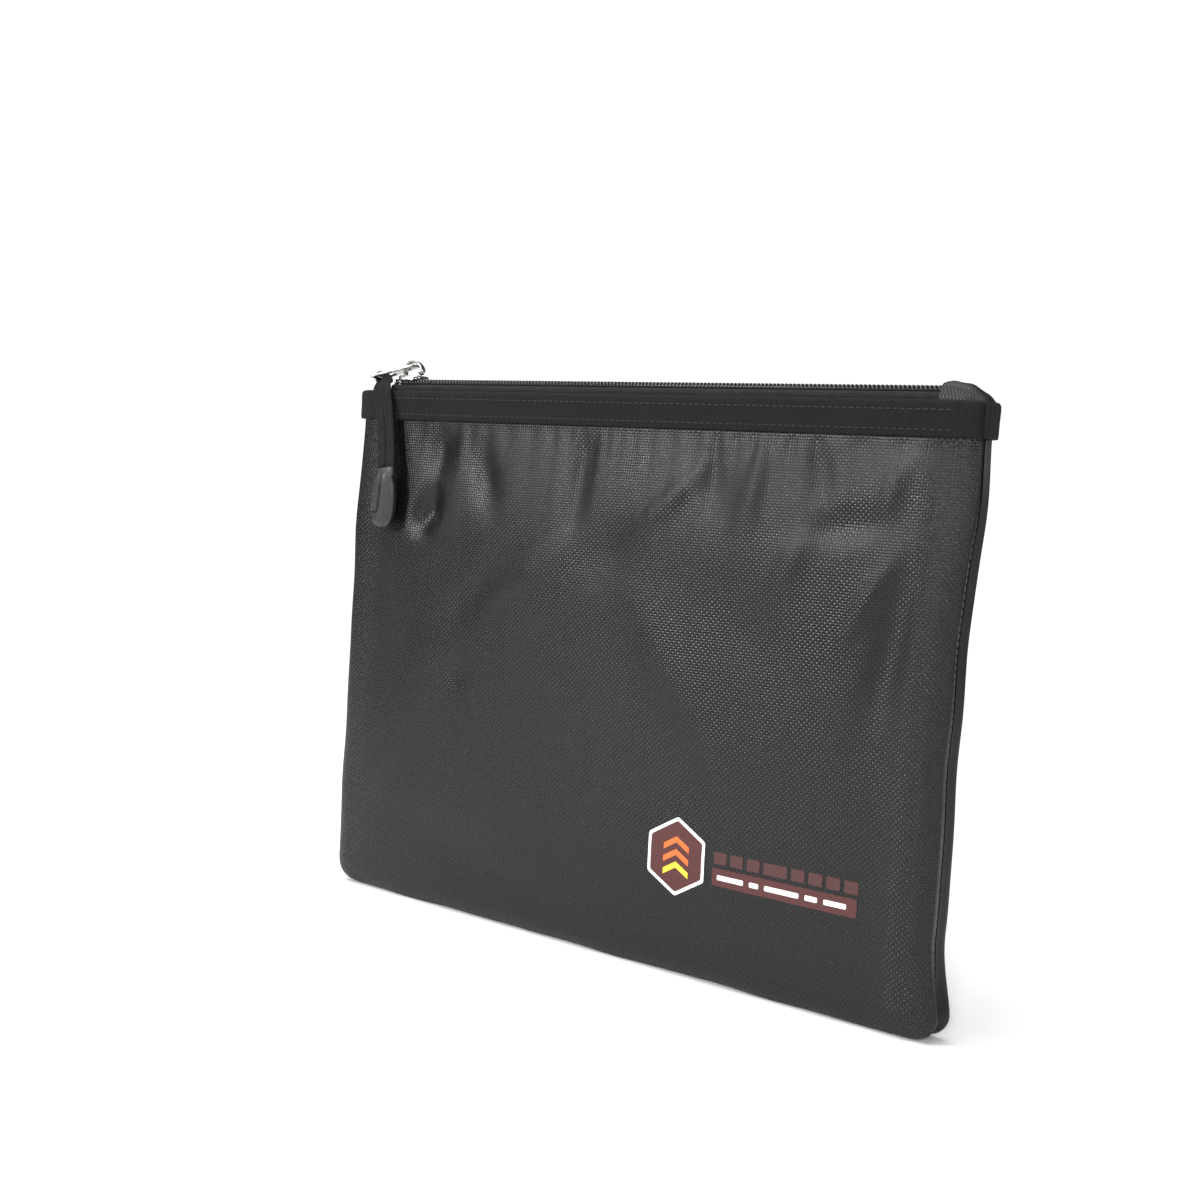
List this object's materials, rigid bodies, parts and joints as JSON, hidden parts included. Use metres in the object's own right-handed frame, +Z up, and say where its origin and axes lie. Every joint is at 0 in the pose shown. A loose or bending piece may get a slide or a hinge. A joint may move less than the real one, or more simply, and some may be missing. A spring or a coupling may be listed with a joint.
{
  "type": "battery safety pouch",
  "caption": "Flat zip-top fire-resistant fabric pouch standing on its edge, with insulated walls, webbing-bound mouth, coil zip, slider, tab, strap and moulded grip.",
  "frame": {"origin": "middle of the bounding box at floor level", "axes": "+X along the zip towards its closed end, +Y to the back, +Z up; the printed front faces -Y"},
  "size_m": [0.2743, 0.0236, 0.2077],
  "materials": {
    "coated_cloth": "coarse woven glass-fibre cloth with a satin black coating",
    "felt": "white needled insulating felt, hidden between the cloth and the lining",
    "lining": "thin silver-grey woven lining",
    "webbing": "matt black woven polyester tape",
    "thread": "black sewing thread",
    "nylon_coil": "black nylon zip coil, slightly glossy",
    "nickel": "nickel-plated zinc, tumbled and polished",
    "soft_rubber": "moulded dark grey soft rubber, matt",
    "print_ink": "dark red screen print, flat"
  },
  "bodies": {
    "pouch": {"front_panel": "coated_cloth", "front_felt_core": "felt", "front_lining": "lining", "front_binding": "webbing", "front_upper_stitching": "thread", "front_lower_stitching": "thread", "front_zip_tape": "webbing", "front_coil": "nylon_coil", "front_top_stop": "nickel", "zip_bottom_stop": "nickel", "zip_end_cover": "webbing", "binding_end_tab": "webbing", "printed_badge": "print_ink", "printed_band": "print_ink", "left_seam_stitching": "thread", "right_seam_stitching": "thread"},
    "back_wall": {"back_panel": "coated_cloth", "back_felt_core": "felt", "back_lining": "lining", "back_binding": "webbing", "back_upper_stitching": "thread", "back_lower_stitching": "thread", "back_zip_tape": "webbing", "back_coil": "nylon_coil", "back_top_stop": "nickel"},
    "slider": {"slider_body": "nickel", "slider_crown": "nickel"},
    "pull_tab": {"pull_tab": "nickel"},
    "puller": {"pull_strap": "webbing", "pull_grip": "soft_rubber"}
  },
  "joints": [
    {"name": "slider_travel", "type": "slide", "parent": "pouch", "child": "slider", "axis": [1, 0, 0], "range_m": [0, 0.225], "deforming": ["pull_strap"]},
    {"name": "mouth_open", "type": "hinge", "parent": "pouch", "child": "back_wall", "pos_m": [0, 0.0062, 0], "axis": [-1, 0, 0], "range_deg": [0, 9.05], "deforming": ["back_coil", "back_zip_tape"]},
    {"name": "pull_tab_swing", "type": "hinge", "parent": "slider", "child": "pull_tab", "pos_m": [-0.1115, 0.0028, 0.2056], "axis": [0, 1, 0], "range_deg": [0, 185]},
    {"name": "puller_swing", "type": "hinge", "parent": "pull_tab", "child": "puller", "pos_m": [-0.12837, 0.00043, 0.20119], "axis": [0, 1, 0], "range_deg": [-35, 70], "deforming": ["pull_strap"]}
  ],
  "couplings": [
    {"joint": "mouth_open", "follows": "slider_travel", "rad_per_m": 0.698}
  ]
}
